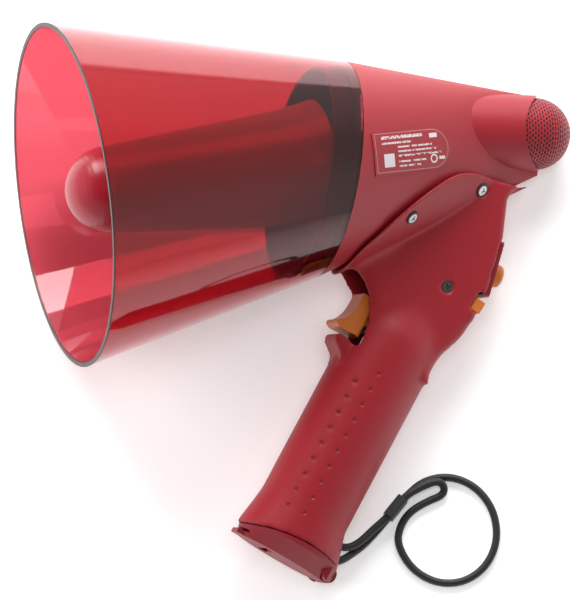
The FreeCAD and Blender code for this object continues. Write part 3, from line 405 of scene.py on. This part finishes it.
class Finish:
    """A material with one Principled shader."""

    def __init__(self, name, **numbers):
        self.material = bpy.data.materials.new(name)
        self.material.use_nodes = True
        self.tree = self.material.node_tree
        self.shader = self.tree.nodes["Principled BSDF"]
        for key, number in numbers.items():
            self.set(key.replace("_", " "), number)

    def set(self, socket, value):
        target = self.shader.inputs[socket]
        if isinstance(value, Value):
            self.tree.links.new(value.socket, target)
        elif isinstance(value, tuple) and len(value) == 3:
            target.default_value = (*value, 1.0)
        else:
            target.default_value = value
        return self

    def add(self, kind, settings=None, inputs=None, output=0):
        node = self.tree.nodes.new(kind)
        for key, value in (settings or {}).items():
            setattr(node, key, value)
        for key, value in (inputs or {}).items():
            target = node.inputs[key]
            if isinstance(value, Value):
                self.tree.links.new(value.socket, target)
            elif isinstance(value, tuple) and len(value) == 3 and target.type == "RGBA":
                target.default_value = (*value, 1.0)
            else:
                target.default_value = value
        return Value(self, node.outputs[output])

    def where(self, output="Object"):
        """Where the surface is: object coordinates, or the piece's UV map."""
        return self.add("ShaderNodeTexCoord", output=output)

    def along(self, axes, direction):
        """Millimetres along one of a frame's directions: 0, 1 or 2 for x, y or z."""
        back = axes.inverted()
        row = Vector(back[direction][:3])
        dot = self.add("ShaderNodeVectorMath", {"operation": "DOT_PRODUCT"},
                       {0: self.where(), 1: tuple(row)}, 1)
        return dot + back[direction][3]

    def noise(self, per_mm, detail=3.0, rough=0.5, vector=None):
        """Smooth noise between 0 and 1 with this many bumps a millimetre."""
        return self.add("ShaderNodeTexNoise", {"noise_dimensions": "3D"},
                        {"Vector": vector or self.where(), "Scale": per_mm * 1000.0, "Detail": detail,
                         "Roughness": rough})

    def mix(self, mask, first, second):
        """A colour between two colours."""
        node = self.tree.nodes.new("ShaderNodeMix")
        node.data_type = "RGBA"
        for key, value in ((0, mask), (6, first), (7, second)):
            if isinstance(value, Value):
                self.tree.links.new(value.socket, node.inputs[key])
            elif isinstance(value, tuple):
                node.inputs[key].default_value = (*value, 1.0)
            else:
                node.inputs[key].default_value = value
        return Value(self, node.outputs[2])

    def bump(self, height, millimetres, strength=1.0):
        sizes = {"Height": height, "Distance": millimetres * MM, "Strength": strength}
        return self.set("Normal", self.add("ShaderNodeBump", {}, sizes))


def dress(obj, finish):
    """Puts one finish on every slot of a piece."""
    if not obj.material_slots:
        obj.data.materials.append(finish.material)
    for holder in obj.material_slots:
        holder.material = finish.material


# The floor is paper on a softly lit table, so it gives off a little light of its own.
floor_finish = Finish("floor_paper", Roughness=0.9, Specular_IOR_Level=0.1, Emission_Strength=0.35)
floor_finish.set("Emission Color", (1.0, 1.0, 1.0))
floor_drift = floor_finish.noise(0.002)
floor_finish.set("Base Color", floor_finish.mix(floor_drift, (0.88, 0.88, 0.88), (0.92, 0.92, 0.92)))
dress(floor, floor_finish)
print("finishes so far:", len(bpy.data.materials))

# %% [markdown]
# The horn is polycarbonate tinted red right through. A transmitting shader with a low roughness does
# it, because the wall is a real closed solid: light is tinted each time it crosses a face, so two
# walls look darker than one, as they should. The cut rim at the mouth is rougher, and its dark colour
# is painted shade for light running a long way inside it. A trace of fine wear breaks up the reflections.

# %% Clear red plastic
clear_red = Finish("clear_red_plastic", Transmission_Weight=1.0, IOR=1.52)
rim = 1.0 - clear_red.along(DEVICE, 0).above(0.7, 0.4)
# The rim's dark colour is painted shade, for light running a long way inside the cut edge; its added
# roughness is real.
clear_red.set("Base Color", clear_red.mix(rim, (0.60, 0.075, 0.105), (0.06, 0.010, 0.014)))
haze = clear_red.noise(0.35, 4.0, 0.6)
clear_red.set("Roughness", 0.035 + haze.above(0.62, 0.08) * 0.05 + rim * 0.4)
clear_red.bump(clear_red.noise(0.02, 2.0), 0.15, 0.12)
dress(nodes["horn_bell"], clear_red)
print("horn:", clear_red.material.name, len(clear_red.tree.nodes), "nodes")

# %% [markdown]
# The opaque red shells are moulded in a tool with a spark-eroded grain: very fine pits that kill
# the gloss. Two layers of noise make the grain, and a slow one lets the colour drift a little.

# %% Grained red plastic
def grained_plastic(name, colour, rough, grain=0.045, per_mm=2.6):
    made = Finish(name)
    drift = made.noise(0.012, 2.0)
    speck = made.noise(per_mm, 2.0, 0.7)
    dark = tuple(c * 0.90 for c in colour)
    light = tuple(min(1.0, c * 1.07) for c in colour)
    made.set("Base Color", made.mix(drift * 0.7 + speck * 0.3, dark, light))
    made.set("Roughness", rough - 0.04 + speck * 0.08)
    made.bump(speck, grain, 0.35)
    return made


red_shell = grained_plastic("grained_red", (0.33, 0.013, 0.022), 0.48)
# The darker copy of the red is painted shade on the battery cap, whose sides slope in and face down, away
# from the light; the control panel gets the same darker red.
dark_red = grained_plastic("dark_grained_red", (0.25, 0.010, 0.019), 0.48)
for name in ("body_shell", "grip_shell_left", "grip_shell_right"):
    dress(nodes[name], red_shell)
for name in ("battery_cap", "control_panel"):
    dress(nodes[name], dark_red)
reflector_red = grained_plastic("satin_deep_red", (0.34, 0.012, 0.026), 0.30, 0.02, 1.2)
dress(nodes["reflector_bell"], reflector_red)
orange = grained_plastic("orange_plastic", (0.62, 0.17, 0.030), 0.38, 0.03, 2.0)
for name in ("trigger", "volume_knob", "siren_slide"):
    dress(nodes[name], orange)
dark_plastic = grained_plastic("dark_grey_plastic", (0.035, 0.035, 0.04), 0.45, 0.03, 1.6)
# On the screw wells the near-black is painted shade, standing for the shade in the deep recesses round the
# flange screws.
for name in ("throat_plate", "screw_wells", "strap_sleeve", "contact_plate", "mic_holder",
             "mic_foam", "driver_magnet", "board_parts"):
    dress(nodes[name], dark_plastic)
grey_plastic = grained_plastic("grey_plastic", (0.25, 0.25, 0.26), 0.4, 0.02, 1.5)
for name in ("throat_tube", "talk_switch", "volume_control", "siren_switch", "driver_frame", "diaphragm",
             "amplifier_board", "switch_plunger"):
    dress(nodes[name], grey_plastic)
print("finishes so far:", len(bpy.data.materials))

# %% [markdown]
# Screws, pins and springs are metal. Fine streaks in the roughness keep it from looking like a mirror.

# %% Metal
def metal(name, colour, rough):
    made = Finish(name, Metallic=1.0)
    streak = made.noise(1.2, 3.0)
    made.set("Base Color", made.mix(streak, tuple(c * 0.85 for c in colour), colour))
    made.set("Roughness", rough + streak * 0.12)
    return made


METAL_NODES = ("driver_yoke", "driver_top_plate", "driver_screws", "grip_screw", "board_screws",
               "trigger_pin", "trigger_spring", "cap_hinge_pin", "strap_bar", "cap_springs",
               "volume_shaft", "mic_capsule", "flange_screws", "battery_cells", "cell_contacts")
steel = metal("plain_steel", (0.50, 0.50, 0.51), 0.16)
for name in METAL_NODES:
    dress(nodes[name], steel)
print("metal nodes:", len(METAL_NODES))

# %% [markdown]
# The microphone's grille is the same red, with short slots in rings round the dome's axis. The slots are
# not cut: they are painted dark, as painted shade in each opening. Each ring is staggered against the
# next, and its number of slots follows its girth.

# %% The grille over the microphone
DOME = tilted(231.4, 1.6, 8.0)
DOME_RADIUS = 16.9
ROW = 1.45          # from one ring of slots to the next
SLOT_PITCH = 2.3    # from slot to slot along a ring

grille = Finish("slotted_red", Roughness=0.42)
out_along = grille.along(DOME, 0)
across = grille.along(DOME, 1)
upward = grille.along(DOME, 2)
from_axis = (across * across + upward * upward).root()
slope = from_axis.turn_from(out_along)
on_ball = out_along.above(0.0, 0.01)
quarter = DOME_RADIUS * math.pi / 2
from_tip = on_ball * slope * DOME_RADIUS + (1.0 - on_ball) * (quarter - out_along)
ring = from_tip / ROW
ring_middle = ((ring.floor() + 0.5) * (ROW / DOME_RADIUS)).smaller(math.pi / 2)
slots_round = (ring_middle.sin() * (2 * math.pi * DOME_RADIUS / SLOT_PITCH)).rounded().larger(3.0)
round_share = upward.turn_from(across) / (2 * math.pi) * slots_round + ring.floor() * 0.5
slot_mask = (round_share.part() - 0.5).within(0.33, 0.06) * (ring.part() - 0.5).within(0.25, 0.07)
# The slots' dark colour is painted shade for the openings; their roughness and bump are real relief.
grille.set("Base Color", grille.mix(slot_mask, (0.38, 0.016, 0.028), (0.030, 0.003, 0.005)))
grille.set("Roughness", 0.38 + slot_mask * 0.4)
grille.bump(1.0 - slot_mask, 0.5, 0.9)
dress(nodes["mic_grille"], grille)
print("grille rows over the ball:", round(DOME_RADIUS * math.pi / 2 / ROW))

# %% [markdown]
# The rating label has a thin pale outline and rows of plain bars in place of any words. The bars are
# broken into word lengths by noise, and a plain square and a plain ring take the place of marks.

# %% The rating label
label = Finish("printed_label")
label_x = label.along(DEVICE, 0)
label_z = label.along(DEVICE, 2)


def boxed(x0, x1, z0, z1, soft=0.08):
    """1 inside a box on the label, in millimetres."""
    inside_x = (label_x - (x0 + x1) / 2).within((x1 - x0) / 2, soft)
    return inside_x * (label_z - (z0 + z1) / 2).within((z1 - z0) / 2, soft)


def ring_at(x, z, radius, half_width):
    distance = ((label_x - x) * (label_x - x) + (label_z - z) * (label_z - z)).root()
    return (distance - radius).within(half_width, 0.1)


words = label.add("ShaderNodeTexNoise", {"noise_dimensions": "2D"}, {
    "Vector": label.add("ShaderNodeCombineXYZ", {}, {0: label_x * 0.55, 1: (label_z * 0.47).floor() * 7.3}),
    "Scale": 1.0, "Detail": 1.0})
letters = label.add("ShaderNodeTexNoise", {"noise_dimensions": "2D"}, {
    "Vector": label.add("ShaderNodeCombineXYZ", {}, {0: label_x * 2.6, 1: label_z * 1.1}),
    "Scale": 1.0, "Detail": 1.0})
print_mask = boxed(139, 163, 5.6, 7.0)
for x0, x1, z0, z1 in ((139, 157, 3.3, 4.2), (148, 168, 1.3, 2.1), (148, 171, -0.7, 0.1),
                       (148, 173, -2.7, -1.9), (148, 164, -5.3, -4.5), (148, 161, -7.3, -6.5)):
    print_mask = print_mask.larger(boxed(x0, x1, z0, z1))
print_mask = print_mask * words.above(0.40, 0.02) * letters.above(0.36, 0.06)
for mark in (boxed(139.5, 145.5, -7.0, -1.0), ring_at(168.5, -5.0, 1.7, 0.35), boxed(167.0, 171.5, 4.6, 6.6),
             boxed(171.6, 175.0, -5.6, -4.2)):
    print_mask = print_mask.larger(mark)
straight = ((label_x - 151.5).abs() - 16.5).larger((label_z + 0.4).abs() - 9.1)
end = ((label_x - 168.5) * (label_x - 168.5) + (label_z + 0.4) * (label_z + 0.4)).root() - 9.1
outline = (straight.smaller(end) + 0.35).within(0.14, 0.08) * 0.35
label.set("Base Color", label.mix(print_mask.larger(outline), (0.33, 0.016, 0.026), (0.72, 0.66, 0.66)))
label.set("Roughness", 0.40 - print_mask * 0.1)
label.bump(label.noise(1.0, 2.0), 0.02, 0.3)
dress(nodes["rating_label"], label)
print("label:", len(label.tree.nodes), "nodes")

# %% [markdown]
# The strap's nylon is near black. Thread-fine noise along its UV map varies it within the relief.

# %% Braided nylon
braid = Finish("braided_nylon", Roughness=0.55, Sheen_Weight=0.25, Sheen_Roughness=0.4)
braid_uv = braid.where("UV")
thread = braid.add("ShaderNodeTexNoise", {"noise_dimensions": "3D"},
                   {"Vector": braid_uv, "Scale": 60.0, "Detail": 2.0})
braid.set("Base Color", braid.mix(thread, (0.006, 0.006, 0.007), (0.028, 0.027, 0.028)))
braid.bump(thread, 0.05, 0.5)
dress(strap, braid)
print("strap finish:", braid.material.name)

# %% [markdown]
# A piece may start as a copy of the measured shape. The copy's loose triangles are merged first, so
# that what follows sees one closed surface.

# %% Copies of measured pieces
def new_piece(name, bm, smooth=True):
    for face in bm.faces:
        face.smooth = smooth
    mesh = bpy.data.meshes.new(name)
    bm.to_mesh(mesh)
    bm.free()
    obj = bpy.data.objects.new(name, mesh)
    scene.collection.objects.link(obj)
    return obj


def merged_copy(*sources):
    bm = bmesh.new()
    for source in sources:
        bm.from_mesh(nodes[source].data)
    bmesh.ops.remove_doubles(bm, verts=bm.verts, dist=2e-6)
    return bm


def take_place_of(obj, body, slot, *sources):
    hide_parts(*sources)
    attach(obj, body)
    print(obj.name, len(obj.data.polygons), "faces")


def with_modifiers(obj):
    """Applies a piece's modifiers for good."""
    bpy.context.view_layer.update()
    mesh = bpy.data.meshes.new_from_object(obj.evaluated_get(bpy.context.evaluated_depsgraph_get()))
    obj.modifiers.clear()
    obj.data = mesh
    for face in mesh.polygons:
        face.use_smooth = True
    return obj


# %% [markdown]
# The handle's two halves are moulded with generous blends: the round grip flows into the flat-sided
# upper part through a soft valley. The measured halves meet there in a plain crease, so their copy is
# turned into an even skin of small faces, and the skin is relaxed in the valley and round the foot.
# Openings, the flange's rim and the screw wells are left as they are.

# %% The handle's skin
def in_frame(axes):
    back = axes.inverted()
    return lambda co: back @ co


def ramp(value, low, high):
    share = max(0.0, min(1.0, (value - low) / (high - low)))
    return share * share * (3 - 2 * share)


def relax(bm, weight, rounds):
    """Moves each point towards its neighbours' middle, more where weight says more."""
    chosen = {}
    for vert in bm.verts:
        amount = weight(vert.co)
        if amount > 0.02:
            chosen[vert] = amount
    for _ in range(rounds):
        moved = {}
        for vert, amount in chosen.items():
            middle = Vector()
            for edge in vert.link_edges:
                middle += edge.other_vert(vert).co
            moved[vert] = vert.co.lerp(middle / len(vert.link_edges), 0.5 * amount)
        for vert, place in moved.items():
            vert.co = place


to_grip = in_frame(GRIP)
to_device = in_frame(DEVICE)
PANEL = tilted(198.3, -58.8, 25.2)
SLIDE = tilted(189.3, -74.4, 41.5)
to_panel = in_frame(PANEL)
to_slide = in_frame(SLIDE)


def valley(co):
    g = to_grip(co)
    amount = ramp(g.z, 42, 52) * (1 - ramp(g.z, 84, 94))
    amount *= 1 - ramp(-g.x, 9, 13) * (1 - ramp(abs(g.y), 9.5, 12.5)) * (1 - ramp(g.z, 66, 70))
    p = to_panel(co)
    amount *= 1 - ramp(p.x, -8, -4) * (1 - ramp(abs(p.z), 15, 19))
    q = to_slide(co)
    amount *= 1 - ramp(q.x, -9, -5) * (1 - ramp(abs(q.z), 8, 12))
    d = to_device(co)
    amount *= ramp(math.hypot(d.x - 173.2, d.z + 64.1), 5.5, 8.0)
    return amount


def foot_flare(co):
    g = to_grip(co)
    near_bar = ramp(g.x, 8, 13) * (1 - ramp(abs(g.y), 7, 10))
    return ramp(g.z, -49, -45) * (1 - ramp(g.z, -27, -22)) * (1 - near_bar)


handle = new_piece("handle_skin", merged_copy("grip_shell_left", "grip_shell_right"))
remesh = handle.modifiers.new("even_faces", "REMESH")
remesh.mode = "VOXEL"
remesh.voxel_size = 0.00095
with_modifiers(handle)
handle_bm = bmesh.new()
handle_bm.from_mesh(handle.data)
relax(handle_bm, lambda co: 0.5, 2)
relax(handle_bm, valley, 45)
relax(handle_bm, foot_flare, 14)
handle_bm.to_mesh(handle.data)
handle_bm.free()
take_place_of(handle, "main", "red_shell", "grip_shell_left", "grip_shell_right")

# %% [markdown]
# The skin's fine marks are in its finish: the moulding seam along the middle, drawn as a dark line, and
# two rows of round dimples on each side where the fingers close, whose darker colour is painted shade in
# their hollows.

# %% The handle's seam and dimples
DIMPLE_PITCH = 8.07
DIMPLE_ROWS = ((-12.0, 9, 25.2), (-4.4, 10, 33.4))   # back across the grip, how many, the top one
handle_red = grained_plastic("grained_red_with_seam", (0.33, 0.013, 0.022), 0.48)
seam = handle_red.along(DEVICE, 1).within(0.10, 0.06)
grip_back = handle_red.along(GRIP, 0)
grip_up = handle_red.along(GRIP, 2)
dimple = seam * 0.0
for back, count, top in DIMPLE_ROWS:
    below = (top - grip_up) / DIMPLE_PITCH
    nearest = below.rounded().larger(0.0).smaller(count - 1.0)
    off = (below - nearest) * DIMPLE_PITCH
    distance = (off * off + (grip_back - back) * (grip_back - back)).root()
    dimple = dimple.larger(1.0 - distance.above(0.85, 0.35))
base = handle_red.shader.inputs["Base Color"].links[0].from_socket
# The dimples' darkening is painted shade in their hollows; the seam's dark line is the joint's own colour.
dimple_shade_and_seam_colour = handle_red.mix((dimple * 0.45).larger(seam * 0.8), Value(handle_red, base), (0.08, 0.004, 0.008))
handle_red.set("Base Color", dimple_shade_and_seam_colour)
handle_red.bump(1.0 - dimple, 0.5, 0.8)
dress(handle, handle_red)
print("dimples a side:", sum(count for _, count, _ in DIMPLE_ROWS))
